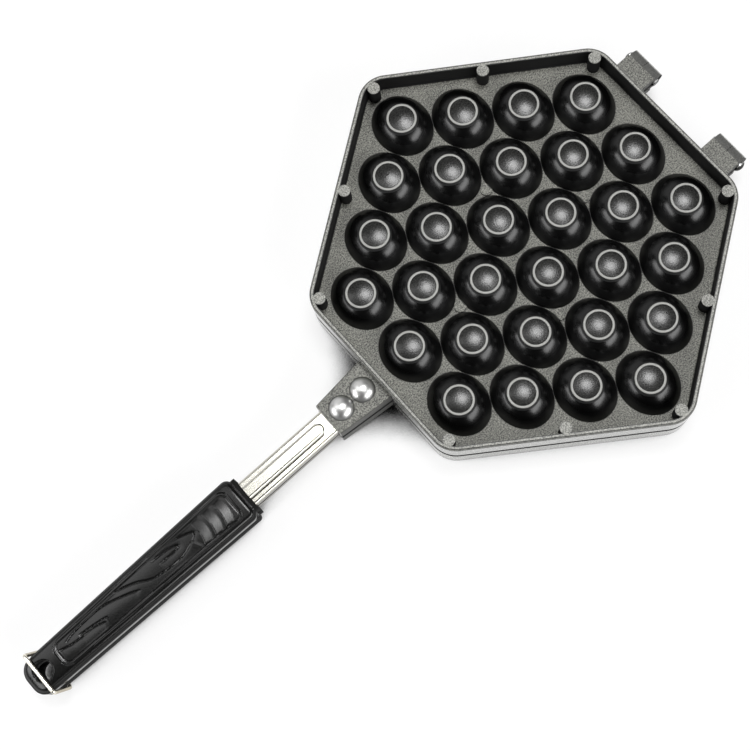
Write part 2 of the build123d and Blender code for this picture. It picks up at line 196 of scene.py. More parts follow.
@dataclass(frozen=True)
class CellLattice:
    """Where the oval cells lie: rows across the pan, every second row shifted by half a pitch.

    A point of the pattern past the last cells is no real cell, and far is added to its distances.
    """

    row_pitch: float = 22.25
    cell_pitch: float = 32.0
    half_x: float = 13.0
    half_y: float = 15.05
    button_radius: float = 6.9
    last_row: float = 78.0
    slant_angle: float = 55.0
    slant_reach: float = 78.0
    far: float = 9.0

    def outside(self, tree: NodeTree, middle: NodeSocket) -> NodeSocket:
        """Tells the pattern's points past the rim from real cells.

        Args:
            tree: the material's node tree.
            middle: the nearest point of the endless pattern.

        Returns:
            The socket with 0 for a real cell and 1 or 2 for a point outside.
        """
        quarter = folded(tree, middle)
        along = add_node(tree, "SeparateXYZ", {0: quarter})
        lean = math.radians(self.slant_angle)
        way = (math.cos(lean), math.sin(lean), 0)
        slant = add_node(tree, "VectorMath", {0: quarter, 1: way}, operation="DOT_PRODUCT", out="Value")
        past = [
            add_node(tree, "Math", {0: reach, 1: limit * MM}, operation="GREATER_THAN")
            for reach, limit in ((along, self.last_row), (slant, self.slant_reach))
        ]
        return add_node(tree, "Math", {0: past[0], 1: past[1]}, operation="ADD")

    def distances(self, tree: NodeTree, place: NodeSocket) -> list[NodeSocket]:
        """Distances from the nearest real cell's middle.

        Args:
            tree: the material's node tree.
            place: the point in the frame, in metres.

        Returns:
            The distance that is 1 on the cell's oval edge, and the one that is 1 on its button's edge.
        """
        shapes = ((self.half_x, self.half_y), (self.button_radius, self.button_radius))
        found = [[], []]
        span = (self.row_pitch * MM, self.cell_pitch / 2 * MM, 1)
        back = tuple(-step for step in span)
        for shift_x, shift_y in ((0.0, self.cell_pitch / 2), (self.row_pitch, 0.0)):
            shift = ((PAN_MIDDLE_X + shift_x) * MM, shift_y * MM, 0)
            local = add_node(tree, "VectorMath", {0: place, 1: shift}, operation="SUBTRACT")
            offset = add_node(tree, "VectorMath", {0: local, 1: span, 2: back}, operation="WRAP")
            middle = add_node(tree, "VectorMath", {0: place, 1: offset}, operation="SUBTRACT")
            outside = self.outside(tree, middle)
            for (half_x, half_y), kept in zip(shapes, found):
                scale = (1 / (half_x * MM), 1 / (half_y * MM), 0)
                scaled = add_node(tree, "VectorMath", {0: offset, 1: scale}, operation="MULTIPLY")
                reach = add_node(tree, "VectorMath", {0: scaled}, operation="LENGTH", out="Value")
                sum_up = {0: outside, 1: self.far, 2: reach}
                kept.append(add_node(tree, "Math", sum_up, operation="MULTIPLY_ADD"))
        return [add_node(tree, "Math", {0: a, 1: b}, operation="MINIMUM") for a, b in found]


@dataclass(frozen=True)
class PanEdge:
    """The pan's six-sided outline with rounded corners, folded into one quarter."""

    end_reach: float = 87.0
    slant_reach: float = 86.69
    slant_angle: float = 55.0
    corner_radius: float = 13.0

    def inset(self, tree: NodeTree, place: NodeSocket) -> NodeSocket:
        """Distance inwards from the outline, for points less than a corner's radius from it.

        Args:
            tree: the material's node tree.
            place: the point in the frame, in metres.

        Returns:
            The socket with the distance, in metres.
        """
        lean = math.radians(self.slant_angle)
        end = (self.end_reach - self.corner_radius) * MM
        slant = (self.slant_reach - self.corner_radius) * MM
        tip = (0.0, slant / math.sin(lean), 0.0)
        side = (end, (slant - end * math.cos(lean)) / math.sin(lean), 0.0)
        way = (math.sin(lean), -math.cos(lean), 0.0)
        length = math.dist(tip, side)
        quarter = folded(tree, place)
        past_tip = add_node(tree, "VectorMath", {0: quarter, 1: tip}, operation="SUBTRACT")
        along = add_node(tree, "VectorMath", {0: past_tip, 1: way}, operation="DOT_PRODUCT", out="Value")
        kept = add_node(tree, "MapRange", {"Value": along, "From Max": length, "To Max": length})
        slanted = add_node(tree, "VectorMath", {0: way, 1: kept, 2: tip}, operation="MULTIPLY_ADD")
        low = add_node(tree, "VectorMath", {0: quarter, 1: side}, operation="MINIMUM")
        straight = add_node(tree, "VectorMath", {0: low, 1: (end, 0, 0)}, operation="MAXIMUM")
        gaps = [
            add_node(tree, "VectorMath", {0: quarter, 1: nearest}, operation="DISTANCE", out="Value")
            for nearest in (slanted, straight)
        ]
        gap = add_node(tree, "Math", {0: gaps[0], 1: gaps[1]}, operation="MINIMUM")
        return add_node(tree, "Math", {0: self.corner_radius * MM, 1: gap}, operation="SUBTRACT")


@dataclass(frozen=True)
class Coat:
    """One look of the coating: the two colours that its speckle mixes, and its roughness."""

    dark: str
    light: str
    roughness: float | NodeSocket


@dataclass(frozen=True)
class SprayedNonStick:
    """Non-stick coating sprayed on cast aluminium.

    Level faces are painted a speckled, matt grey: the grain of the sand mould in the specks, and
    painted light from above over the coat's black, which the upright faces keep. The domes are turned
    smooth before they are coated and look glossy black. The rims carry painted light: a painted
    highlight on their inner strip, a painted mid grey on their rounded outer edge, and near-black lines
    of painted shade between the two and along the inner edge. The outer walls are pale grey between
    bands of painted shade under the rim and along the seam, and each dome's button has a bright ring
    round a grained crown. The specks are drawn about twice as coarse as the real grain, which would be
    too fine to show.
    """

    inner: Coat = Coat("#040404", "#040404", 0.9)
    # wall: pale grey on the outer walls, and on the lugs at a share
    wall: Coat = Coat("#868682", "#a8a8a4", 0.12)
    # web, lug and pad: a speckled grey on level faces only, painted light from above over the black coat,
    # with the mould's grain in its specks
    web: Coat = Coat("#2b2b27", "#9f9f95", 0.5)
    lug: Coat = Coat("#2a2a27", "#95958d", 0.5)
    # rim: near-black painted shade lines on the rim's top, along its inner edge and between its two painted
    # strips
    rim: Coat = Coat("#181817", "#181817", 0.42)
    # mid grey on the rim's rounded outer edge, painted light
    painted_edge_grey: Coat = Coat("#585855", "#8e8e89", 0.42)
    # painted highlight on the rim's inner strip
    painted_highlight_strip: Coat = Coat("#60605d", "#b6b6ae", 0.42)
    pad: Coat = Coat("#4e4e4b", "#aeaea6", 0.42)
    crown: Coat = Coat("#0c0c0c", "#30302e", 0.24)
    ring: Coat = Coat("#a6a6a2", "#a6a6a2", 0.36)
    dome_roughness: float = 0.25
    foot_roughness: float = 0.6
    foot_start: float = 0.78
    button_foot: Pair = (1.09, 1.13)
    crown_grain: float = 0.35
    speck_mm: float = 0.62
    speck_reach: Pair = (0.36, 0.64)
    cloud_mm: float = 9.0
    cloud_share: float = 0.3
    level_reach: Pair = (0.1, 1.2)
    grain_height_m: float = 0.0001
    lit_level_reach: Pair = (0.8, 0.93)
    oval_edge: Pair = (1.005, 1.025)
    ring_share: float = 0.985
    crown_share: float = 0.84
    share_fade: float = 0.01
    button_height: float = 12.9
    rim_height: float = 14.2
    rim_rounding: Pair = (13.6, 13.7)
    knuckle_x: float = 187.8
    wall_x: Pair = (3.6, 177.9)
    wall_reach: Pair = (85.0, 85.5)
    # heights over the closing plane where the pale wall gives way to black bands of painted shade, along the
    # seam and under the rim
    seam_shade_reach: Pair = (1.7, 2.0)
    rim_shade_reach: Pair = (13.45, 13.25)
    lug_pale_share: float = 0.3
    # insets from the pan's outline of the rim's painted light: the mid grey outer edge, then the painted
    # highlight strip
    painted_edge_inset: Pair = (0.05, 0.5)
    painted_highlight_inset: Pair = (0.74, 1.7)
    pad_places: tuple[Pair, ...] = ((0.0, 98.76), (81.81, 42.21), (41.4, 71.71))
    pad_radius: float = 2.8
    pad_fade: float = 0.15
    fade: float = 0.1
    line_fade: float = 0.08
    lattice: CellLattice = CellLattice()
    edge: PanEdge = PanEdge()

    def make(self) -> Material:
        """Builds the material.

        Returns:
            The material, which reads its places from the frame's own coordinates.
        """
        material, tree = new_material("sprayed_non_stick_on_cast_aluminium")
        coordinates = add_node(tree, "TexCoord").node.outputs
        place = coordinates["Object"]
        speck, cloud = (
            add_node(tree, "TexNoise", {"Vector": place, "Scale": noise_scale(grain), "Detail": 2.0, **more})
            for grain, more in ((self.speck_mm, {"Roughness": 0.6}), (self.cloud_mm, {}))
        )
        low, high = self.speck_reach
        contrast = add_node(tree, "MapRange", {"Value": speck, "From Min": low, "From Max": high})
        sum_up = {0: cloud, 1: self.cloud_share, 2: contrast}
        mottled = add_node(tree, "Math", sum_up, operation="MULTIPLY_ADD")
        low, high = self.level_reach
        level = add_node(tree, "MapRange", {"Value": mottled, "From Min": low, "From Max": high})
        oval, button = self.lattice.distances(tree, place)
        foot, button_foot = (
            add_node(
                tree, "MapRange",
                {"Value": value, "From Min": low, "From Max": high, "To Min": start, "To Max": end},
            )
            for value, (low, high), start, end in (
                (oval, (self.foot_start, 1.0), self.dome_roughness, self.foot_roughness),
                (button, self.button_foot, self.foot_roughness, self.dome_roughness),
            )
        )
        dome = add_node(tree, "Math", {0: foot, 1: button_foot}, operation="MAXIMUM")
        coats = {
            "wall": self.wall, "dome": Coat(self.inner.dark, self.inner.light, dome), "web": self.web,
            "lug": self.lug, "rim": self.rim, "painted_edge_grey": self.painted_edge_grey, "painted_highlight_strip": self.painted_highlight_strip,
            "pad": self.pad, "crown": self.crown, "ring": self.ring,
        }
        masks = self.masks(tree, place, coordinates["Normal"], oval, button)
        colour, roughness = linear(self.inner.dark), self.inner.roughness
        for name, coat in coats.items():
            pair = {"Factor": level, 6: linear(coat.dark), 7: linear(coat.light)}
            own = add_node(tree, "Mix", pair, data_type="RGBA", out=2)
            mask = masks[name]
            colour = add_node(tree, "Mix", {"Factor": mask, 6: colour, 7: own}, data_type="RGBA", out=2)
            roughness = add_node(
                tree, "Mix", {"Factor": mask, 2: roughness, 3: coat.roughness}, data_type="FLOAT"
            )
        sum_up = {0: masks["crown"], 1: self.crown_grain, 2: masks["web"]}
        grained = add_node(tree, "Math", sum_up, operation="MULTIPLY_ADD")
        depth = add_node(tree, "Math", {0: grained, 1: speck}, operation="MULTIPLY")
        grain = add_node(
            tree, "Bump", {"Height": depth, "Distance": self.grain_height_m, "Strength": 0.8}
        )
        shader = add_node(
            tree, "BsdfPrincipled",
            {"Base Color": colour, "Roughness": roughness, "Normal": grain, "IOR": 1.5},
        )
        finish_surface(tree, shader)
        return material

    def pads(self, tree: NodeTree, place: NodeSocket) -> NodeSocket:
        """Distance from the nearest column's axis.

        Args:
            tree: the material's node tree.
            place: the point in the frame, in metres.

        Returns:
            The socket with the distance, in metres.
        """
        quarter, nearest = folded(tree, place), 1.0
        for x, y in self.pad_places:
            axis = (x * MM, y * MM, 0)
            gap = add_node(tree, "VectorMath", {0: quarter, 1: axis}, operation="DISTANCE", out="Value")
            nearest = add_node(tree, "Math", {0: nearest, 1: gap}, operation="MINIMUM")
        return nearest

    def ramps(
        self, tree: NodeTree, place: NodeSocket, normal: NodeSocket
    ) -> dict[str, tuple[NodeSocket, float, float]]:
        """Where the coating's looks start and end, by length.

        Args:
            tree: the material's node tree.
            place: the point in the frame, in metres.
            normal: the surface's direction there.

        Returns:
            For each step its value in metres, and where it is 0 and where it is 1, in millimetres.
        """
        x, _, z = add_node(tree, "SeparateXYZ", {0: place}).node.outputs
        over = add_node(tree, "Math", {0: z, 1: CLOSING_Z * MM}, operation="SUBTRACT")
        height = add_node(tree, "Math", {0: over}, operation="ABSOLUTE")
        middle = (PAN_MIDDLE_X * MM, 0, 0)
        from_middle = add_node(tree, "VectorMath", {0: place, 1: middle}, operation="SUBTRACT")
        facing = {0: from_middle, 1: normal}
        reach = add_node(tree, "VectorMath", facing, operation="DOT_PRODUCT", out="Value")
        inset, pad = self.edge.inset(tree, place), self.pads(tree, place)
        (front, rear), fade, fine = self.wall_x, self.fade, self.line_fade
        (painted_edge_start, painted_edge_end), (painted_highlight_strip, painted_highlight_end) = self.painted_edge_inset, self.painted_highlight_inset
        return {
            "before_knuckle": (x, self.knuckle_x + fade, self.knuckle_x),
            "front_lug": (x, front, front - fade),
            "rear_lug": (x, rear, rear + fade),
            "outer": (reach, *self.wall_reach),
            "past_seam_shade": (height, *self.seam_shade_reach),
            "below_rim_shade": (height, *self.rim_shade_reach),
            "rim_round": (height, *self.rim_rounding),
            "rim_high": (height, self.rim_height, self.rim_height + fade),
            "button_high": (height, self.button_height, self.button_height + fade),
            "past_painted_edge_start": (inset, painted_edge_start - fine, painted_edge_start + fine),
            "before_painted_edge_end": (inset, painted_edge_end + fine, painted_edge_end - fine),
            "past_painted_highlight_start": (inset, painted_highlight_strip - fine, painted_highlight_strip + fine),
            "before_painted_highlight_end": (inset, painted_highlight_end + fine, painted_highlight_end - fine),
            "on_pad": (pad, self.pad_radius, self.pad_radius - self.pad_fade),
        }

    def masks(
        self, tree: NodeTree, place: NodeSocket, normal: NodeSocket, oval: NodeSocket, button: NodeSocket
    ) -> dict[str, NodeSocket]:
        """Shares of the coating's looks.

        Args:
            tree: the material's node tree.
            place: the point in the frame, in metres.
            normal: the surface's direction there.
            oval: the distance that is 1 on the cell's edge.
            button: the distance that is 1 on the edge of its button.

        Returns:
            The socket with the share of each look.
        """
        start, end = self.oval_edge
        ring, crown, fade = self.ring_share, self.crown_share, self.share_fade
        ratios = {
            # level faces get the grey coats as painted light from above; upright faces keep the coat's black
            "lit_level": (levelness(tree, normal), *self.lit_level_reach),
            "on_dome": (oval, end, start),
            "off_dome": (oval, start, end),
            "on_button": (button, ring + fade, ring - fade),
            "in_crown": (button, crown + fade, crown - fade),
            "past_crown": (button, crown - fade, crown + fade),
        }
        share = {
            name: add_node(
                tree, "MapRange", {"Value": value, "From Min": low * unit, "From Max": high * unit}
            )
            for steps, unit in ((self.ramps(tree, place, normal), MM), (ratios, 1.0))
            for name, (value, low, high) in steps.items()
        }
        share["lug"] = add_node(tree, "Math", {0: share["front_lug"], 1: share["rear_lug"]}, operation="ADD")
        pale_lug = add_node(tree, "Math", {0: share["lug"], 1: self.lug_pale_share}, operation="MULTIPLY")
        share["pale_wall"] = add_node(tree, "Math", {0: share["outer"], 1: pale_lug}, operation="MAXIMUM")
        # rim: the rim's top and rounded edge, near-black as painted shade wherever the painted strips leave
        # it
        web, rim = ("lit_level", "off_dome", "before_knuckle"), ("rim_round", "off_dome", "before_knuckle")
        factors = {
            # the pale wall stops short of the seam and the rim, leaving black bands of painted shade
            "wall": ("pale_wall", "past_seam_shade", "below_rim_shade"),
            "dome": ("on_dome",),
            "web": web,
            "lug": (*web, "lug"),
            "rim": rim,
            # painted light: mid grey on the rim's rounded outer edge
            "painted_edge_grey": (*rim, "past_painted_edge_start", "before_painted_edge_end"),
            # painted highlight: the inner strip of the rim's level top
            "painted_highlight_strip": (*web, "rim_high", "past_painted_highlight_start", "before_painted_highlight_end"),
            "pad": (*web, "rim_high", "on_pad"),
            "crown": ("button_high", "on_button", "in_crown"),
            "ring": ("button_high", "on_button", "past_crown"),
        }
        found = {}
        for look, (first, *others) in factors.items():
            found[look] = share[first]
            for name in others:
                found[look] = add_node(tree, "Math", {0: found[look], 1: share[name]}, operation="MULTIPLY")
        return found


@dataclass(frozen=True)
class PlatedMetal:
    """Plated or polished metal, with the fine marks of its making as an uneven gloss.

    Upright faces get the darker second colour as painted shade, and level faces the first, lit colour.
    Real marks are a few hundredths of a millimetre wide and too fine to show, so mark_mm is about ten
    times as coarse.
    """

    name: str
    colour: str
    shade_colour: str
    roughness: float
    mark_mm: float
    mark_share: float
    mark_height_m: float = 0.0
    stretch: Triple = (1.0, 1.0, 1.0)
    shade_to_lit_reach: Pair = (0.12, 0.5)

    def make(self) -> Material:
        """Builds the material.

        Returns:
            The material.
        """
        material, tree = new_material(self.name)
        coordinates = add_node(tree, "TexCoord").node.outputs
        # painted shade: upright faces get the darker colour, level faces the lit one
        level, (low, high) = levelness(tree, coordinates["Normal"]), self.shade_to_lit_reach
        reached = add_node(tree, "MapRange", {"Value": level, "From Min": low, "From Max": high})
        pair = {"Factor": reached, 6: linear(self.shade_colour), 7: linear(self.colour)}
        colour = add_node(tree, "Mix", pair, data_type="RGBA", out=2)
        run = add_node(tree, "Mapping", {"Vector": coordinates["Object"], "Scale": self.stretch})
        mark = add_node(
            tree, "TexNoise", {"Vector": run, "Scale": noise_scale(self.mark_mm), "Detail": 3.0}
        )
        roughness = add_node(
            tree, "MapRange",
            {
                "Value": mark, "From Min": NOISE_REACH[0], "From Max": NOISE_REACH[1],
                "To Min": self.roughness * (1 - self.mark_share),
                "To Max": self.roughness * (1 + self.mark_share),
            },
        )
        wave = add_node(tree, "Bump", {"Height": mark, "Distance": self.mark_height_m, "Strength": 0.5})
        shader = add_node(
            tree, "BsdfPrincipled",
            {"Base Color": colour, "Metallic": 1.0, "Roughness": roughness, "Normal": wave},
        )
        finish_surface(tree, shader)
        return material


@dataclass(frozen=True)
class MouldedPhenolic:
    """Phenolic resin pressed in a steel mould: near black and satin, with its filler as a faint mottle.

    The flanks and the collar are matt, apart from a glossy band between the two heights of land_z.
    Real pores are about a tenth of a millimetre wide, and pore_mm is as coarse as they need to show.
    """

    dark: str = "#090909"
    light: str = "#141413"
    filler_mm: float = 1.1
    filler_share: float = 0.08
    pore_mm: float = 0.45
    pore_height_m: float = 0.000011
    roughness: float = 0.18
    side_roughness: float = 1.0
    top_reach: Pair = (0.4, 0.72)
    land_roughness: float = 0.14
    land_z: Pair = (16.2, 18.6)
    land_fade: float = 1.2
    collar_x: float = -72.6
    collar_fade: float = 0.2

    def make(self) -> Material:
        """Builds the material.

        Returns:
            The material.
        """
        material, tree = new_material("moulded_phenolic")
        coordinates = add_node(tree, "TexCoord").node.outputs
        place = coordinates["Object"]
        filler, pore = (
            add_node(tree, "TexNoise", {"Vector": place, "Scale": noise_scale(grain), **more})
            for grain, more in (
                (self.filler_mm, {"Detail": 4.0, "Roughness": 0.65}), (self.pore_mm, {"Detail": 2.0}),
            )
        )
        low, high = NOISE_REACH
        mottle = add_node(tree, "MapRange", {"Value": filler, "From Min": low, "From Max": high})
        pair = {"Factor": mottle, 6: linear(self.dark), 7: linear(self.light)}
        colour = add_node(tree, "Mix", pair, data_type="RGBA", out=2)
        x, _, z = add_node(tree, "SeparateXYZ", {0: place}).node.outputs
        level, matt = levelness(tree, coordinates["Normal"]), self.side_roughness
        (low, high), fade = self.land_z, self.land_fade
        top, under, over, collar = (
            add_node(
                tree, "MapRange",
                {"Value": value, "From Min": start, "From Max": end, "To Min": first, "To Max": last},
                interpolation_type=kind,
            )
            for value, start, end, first, last, kind in (
                (level, *self.top_reach, matt, self.roughness, "LINEAR"),
                (z, (low - fade) * MM, low * MM, matt, self.land_roughness, "SMOOTHSTEP"),
                (z, (high + fade) * MM, high * MM, matt, self.land_roughness, "SMOOTHSTEP"),
                (x, (self.collar_x - self.collar_fade) * MM, self.collar_x * MM, 0.0, matt, "LINEAR"),
            )
        )
        land = add_node(tree, "Math", {0: under, 1: over}, operation="MAXIMUM")
        moulded = add_node(tree, "Math", {0: top, 1: land}, operation="MINIMUM")
        moulded = add_node(tree, "Math", {0: moulded, 1: collar}, operation="MAXIMUM")
        sum_up = {0: filler, 1: self.filler_share, 2: moulded}
        roughness = add_node(tree, "Math", sum_up, operation="MULTIPLY_ADD")
        skin = add_node(tree, "Bump", {"Height": pore, "Distance": self.pore_height_m, "Strength": 0.6})
        shader = add_node(
            tree, "BsdfPrincipled",
            {
                "Base Color": colour, "Roughness": roughness, "Normal": skin, "IOR": 1.62,
                "Specular IOR Level": 0.3,
            },
        )
        finish_surface(tree, shader)
        return material


# A warm mirror with faint lines along the necks, and brown-grey upright edges as painted shade.
CHROME_PLATE = PlatedMetal(
    "chrome_plate_on_steel", "#dfddd3", "#6b675d", roughness=0.17, mark_mm=0.6, mark_share=0.12,
    mark_height_m=0.0000002, stretch=(0.08, 1.0, 1.0),
)
# Soft white heads, with painted shade where they round off towards the neck.
POLISHED_RIVET = PlatedMetal(
    "polished_aluminium_rivet", "#efefed", "#2c2c2b", roughness=0.36, mark_mm=0.8, mark_share=0.1,
    shade_to_lit_reach=(0.55, 0.84),
)
# Dull grey-white with a grain that breaks its highlights up, a little darker on upright faces as painted
# shade.
ZINC_PLATE = PlatedMetal(
    "zinc_plate_on_steel", "#bcbbb3", "#8f8e87", roughness=0.3, mark_mm=0.5, mark_share=0.3,
    mark_height_m=0.00001,
)
# Drawn wire, warm and bright, with a long soft highlight, and darker upright flanks as painted shade.
SPRING_WIRE = PlatedMetal(
    "nickel_plated_spring_wire", "#f3efe3", "#b5ad9a", roughness=0.28, mark_mm=0.4, mark_share=0.3,
    mark_height_m=0.000002,
)


# ---- Meshes ----


def new_object(name: str, data: ID) -> Object:
    """Makes an object of a mesh, a lamp or a camera, and links it to the scene.

    Args:
        name: the object's name.
        data: what it shows.

    Returns:
        The object.
    """
    made = bpy.data.objects.new(name, data)
    bpy.context.scene.collection.objects.link(made)
    return made


def mesh_object(name: str, points: np.ndarray, faces: list, smooth_angle: float = 40.0) -> Object:
    """Makes an object from points in millimetres.

    Args:
        name: the piece's name.
        points: the corner points, in millimetres in the frame.
        faces: lists of point numbers.
        smooth_angle: edges sharper than this many degrees stay crisp.

    Returns:
        The object, linked to the scene.
    """
    mesh = bpy.data.meshes.new(name)
    mesh.from_pydata((points * MM).tolist(), [], faces)
    mesh.validate()
    piece = new_object(name, mesh)
    shade(piece, smooth_angle)
    return piece


def shade(piece: Object, smooth_angle: float) -> None:
    """Smooths a piece's shading.

    Args:
        piece: the object with the mesh.
        smooth_angle: edges sharper than this many degrees stay crisp.
    """
    mesh = piece.data
    work = bmesh.new()
    work.from_mesh(mesh)
    bmesh.ops.recalc_face_normals(work, faces=work.faces)
    limit = math.radians(smooth_angle)
    for edge in work.edges:
        edge.smooth = len(edge.link_faces) == 2 and edge.calc_face_angle(0.0) < limit
    for face in work.faces:
        face.smooth = True
    work.to_mesh(mesh)
    work.free()


def carve(piece: Object, tool: Object, carving: Carving) -> None:
    """Applies a boolean with a tool object and deletes the tool.

    Args:
        piece: the object to change.
        tool: the closed object to cut with or to add.
        carving: which of the two it does.
    """
    step = piece.modifiers.new("carve", "BOOLEAN")
    step.operation, step.object, step.solver = carving.value, tool, "EXACT"
    graph = bpy.context.evaluated_depsgraph_get()
    result = bpy.data.meshes.new_from_object(piece.evaluated_get(graph))
    piece.modifiers.clear()
    old, piece.data = piece.data, result
    result.name = piece.name
    bpy.data.meshes.remove(old)
    spent = tool.data
    bpy.data.objects.remove(tool)
    bpy.data.meshes.remove(spent)


def tube_faces(rings: int, count: int) -> list[list[int]]:
    """Faces of a closed tube: its skin, ring after ring, and its two ends.

    Args:
        rings: how many rings of points there are.
        count: how many points each ring has.

    Returns:
        Lists of point numbers.
    """
    skin = [
        [i * count + j, i * count + (j + 1) % count, (i + 1) * count + (j + 1) % count, (i + 1) * count + j]
        for i in range(rings - 1)
        for j in range(count)
    ]
    return [*skin, list(range(count))[::-1], [(rings - 1) * count + j for j in range(count)]]


def prism(name: str, outline: np.ndarray, low: float, high: float, axis: int = 2) -> Object:
    """A closed prism over an outline, from low to high along an axis.

    Args:
        name: the object's name.
        outline: points of the outline on the two other axes, in their order.
        low: where it starts, in millimetres.
        high: where it ends.
        axis: the axis that it runs along.

    Returns:
        The prism.
    """
    ends = [np.insert(outline, axis, level, axis=1) for level in (low, high)]
    return mesh_object(name, np.vstack(ends), tube_faces(len(ends), len(outline)))


def circle(centre: Pair, radius: float, count: int = 64) -> np.ndarray:
    """Points round a circle."""
    turn = np.arange(count) * 2 * np.pi / count
    return np.column_stack((centre[0] + radius * np.cos(turn), centre[1] + radius * np.sin(turn)))


def rounded_polygon(corners: list[Triple], steps: int = 24) -> np.ndarray:
    """Outline of a polygon with rounded corners.

    Args:
        corners: x, y and radius of each corner, counter-clockwise.
        steps: points on each corner's arc.

    Returns:
        The outline's points.
    """
    out = []
    for i, (x, y, radius) in enumerate(corners):
        here = np.array((x, y))
        before = np.array(corners[i - 1][:2]) - here
        after = np.array(corners[(i + 1) % len(corners)][:2]) - here
        before, after = before / np.linalg.norm(before), after / np.linalg.norm(after)
        half = math.acos(float(np.clip(before @ after, -1, 1))) / 2
        middle = (before + after) / np.linalg.norm(before + after)
        centre = here + middle * radius / math.sin(half)
        start, end = here + before * radius / math.tan(half), here + after * radius / math.tan(half)
        a = math.atan2(*(start - centre)[::-1])
        turn = (math.atan2(*(end - centre)[::-1]) - a + math.pi) % (2 * math.pi) - math.pi
        out += [
            centre + radius * np.array((math.cos(a + turn * t), math.sin(a + turn * t)))
            for t in np.linspace(0, 1, steps)
        ]
    return np.array(out)


def bar_outline(front: Triple, rear: Triple, steps: int = 24) -> np.ndarray:
    """Outline of a straight-sided bar along x, seen from above.

    Args:
        front: x, half width and corner radius of its front end.
        rear: the same of its rear end.
        steps: points on each corner's arc.

    Returns:
        The outline's points.
    """
    ends = ((front, (-1, 1)), (rear, (1, -1)))
    corners = [(x, side * half, radius) for (x, half, radius), sides in ends for side in sides]
    return rounded_polygon(corners, steps)


def smooth_line(points: list[Pair], steps: int) -> np.ndarray:
    """A smooth line through points, as a fine polyline.

    Args:
        points: the points to pass through.
        steps: pieces of the polyline between one point and the next.

    Returns:
        The polyline's points.
    """
    p = np.array([points[0], *points, points[-1]], float)
    p[0], p[-1] = 2 * p[1] - p[2], 2 * p[-2] - p[-3]
    out = []
    for a, b, c, d in zip(p, p[1:], p[2:], p[3:]):
        square, cube = 2 * a - 5 * b + 4 * c - d, 3 * b - a - 3 * c + d
        for t in np.linspace(0, 1, steps, endpoint=False):
            out.append(0.5 * (2 * b + (c - a) * t + square * t**2 + cube * t**3))
    return np.array([*out, p[-2]])


def line_distance(
    x: np.ndarray, y: np.ndarray, line: np.ndarray
) -> tuple[np.ndarray, np.ndarray, np.ndarray]:
    """Signed distance of many points from a polyline.

    Args:
        x: the points' x.
        y: the points' y.
        line: the polyline's points.

    Returns:
        The distance, negative to the right of the line's direction, how far along the line the
        nearest place is, from 0 to 1, and the distance without its sign.
    """
    best = np.full(x.shape, np.inf)
    sign = np.ones(x.shape)
    along = np.zeros(x.shape)
    count = len(line) - 1
    for i in range(count):
        (ax, ay), (bx, by) = line[i], line[i + 1]
        dx, dy = bx - ax, by - ay
        t = np.clip(((x - ax) * dx + (y - ay) * dy) / (dx * dx + dy * dy), 0, 1)
        gap = np.hypot(x - ax - t * dx, y - ay - t * dy)
        nearer = gap < best
        best = np.where(nearer, gap, best)
        sign = np.where(nearer, np.sign(dx * (y - ay) - dy * (x - ax)), sign)
        along = np.where(nearer, (i + t) / count, along)
    return best * sign, along, best


# ---- The moulded grips ----


@dataclass(frozen=True)
class GrainLine:
    """One line of the grips' wood-grain relief: a narrow groove with a soft fall beside it.

    Points are millimetres from the grip's front and from its middle. In the grip's own frame the
    fall lies to the left of the line's direction. Both run out over taper, a share of the line.
    """

    points: tuple[Pair, ...]
    taper: float = 0.08
    width: float = 0.26
    depth: float = 0.32
    fall: float = 0.25
    fade: float = 3.2


GRAIN = (
    GrainLine(((49.9, 7.7), (38.3, 5.9), (30.5, 4.0), (26.2, 2.3), (26.6, 1.0), (29.5, -0.4))),
    GrainLine(((48.4, 4.3), (40.5, 3.9), (36.4, 3.1), (34.6, 1.9), (36.9, 1.2), (45.9, 1.3)), fade=2.0),
    GrainLine((
        (26.4, 0.6), (36.2, -2.7), (47.1, -2.4), (53.2, -0.8), (59.6, 2.7), (71.0, 5.7), (86.8, 5.9),
        (95.2, 4.7),
    )),
    GrainLine(((58.5, -1.6), (66.2, 1.5), (76.8, 4.2), (91.0, 3.9), (97.5, 2.6))),
    GrainLine(((78.2, -1.9), (84.3, -0.2), (94.1, 0.2), (101.9, 2.0)), fade=2.4),
    GrainLine(((76.4, -0.7), (84.0, 0.6), (91.3, 1.4)), depth=0.2, fade=2.0),
)


